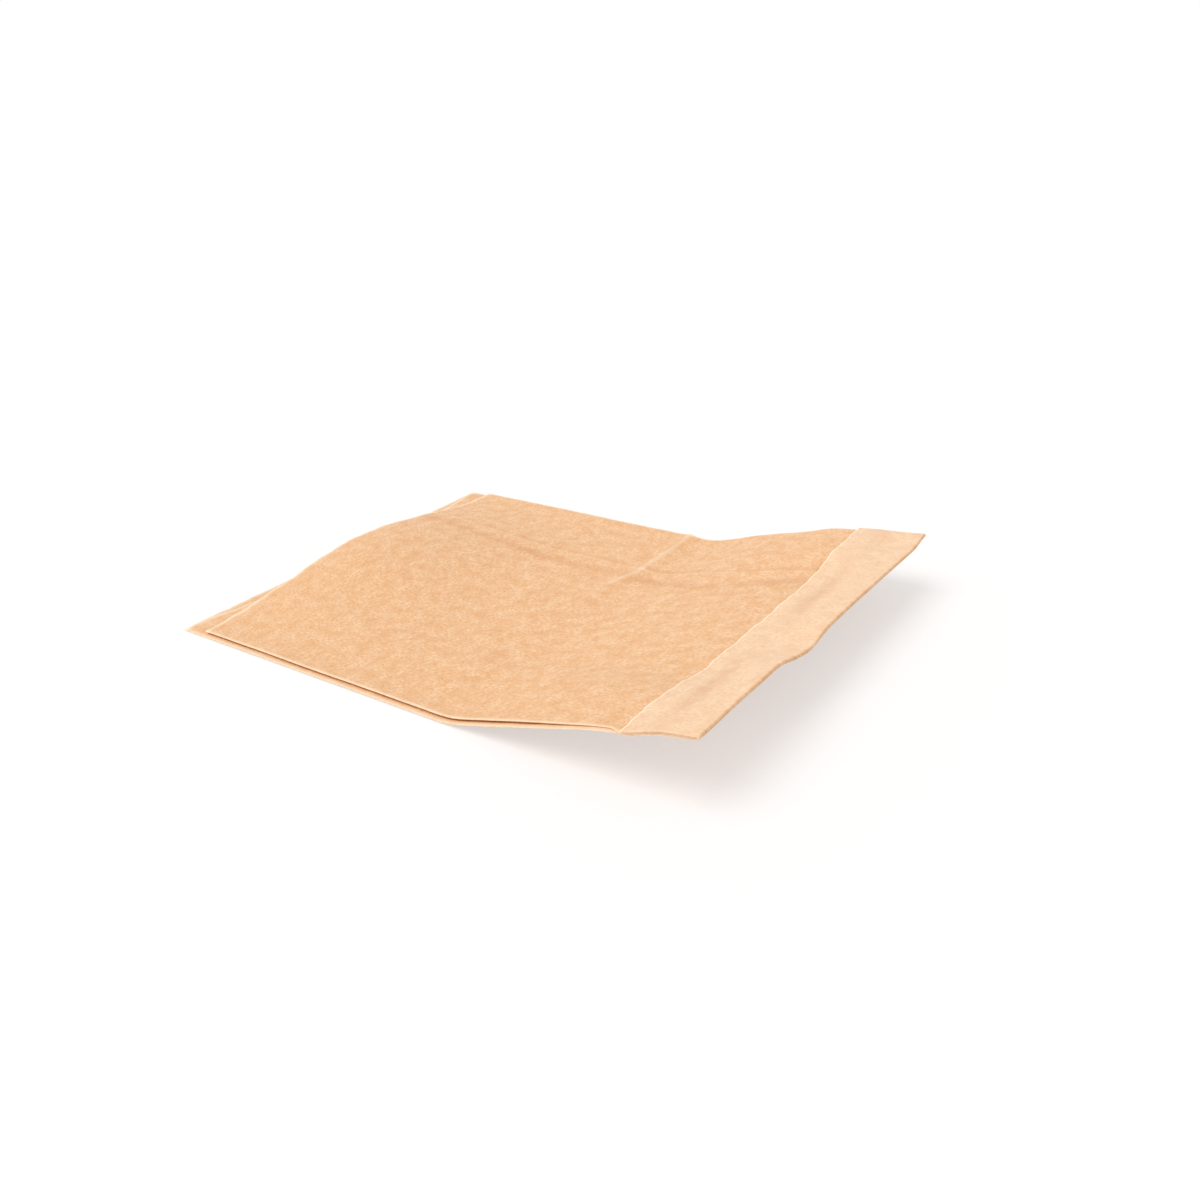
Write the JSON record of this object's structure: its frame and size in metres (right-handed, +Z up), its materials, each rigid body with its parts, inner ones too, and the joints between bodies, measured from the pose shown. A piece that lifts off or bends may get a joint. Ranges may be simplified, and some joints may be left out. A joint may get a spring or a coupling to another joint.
{
  "type": "paper lunch bag",
  "caption": "Flat brown paper lunch bag with side gussets, a lapped long seam and a glued folded bottom, lying with its mouth slightly open.",
  "frame": {"origin": "centre of the bag's outline, on the surface it lies on", "axes": "+X from the mouth to the folded bottom, +Y across the bag, +Z up"},
  "size_m": [0.205, 0.1524, 0.0233],
  "materials": {
    "kraft_paper": "satin"
  },
  "bodies": {
    "root": {"paper_bag": "kraft_paper"}
  },
  "joints": []
}
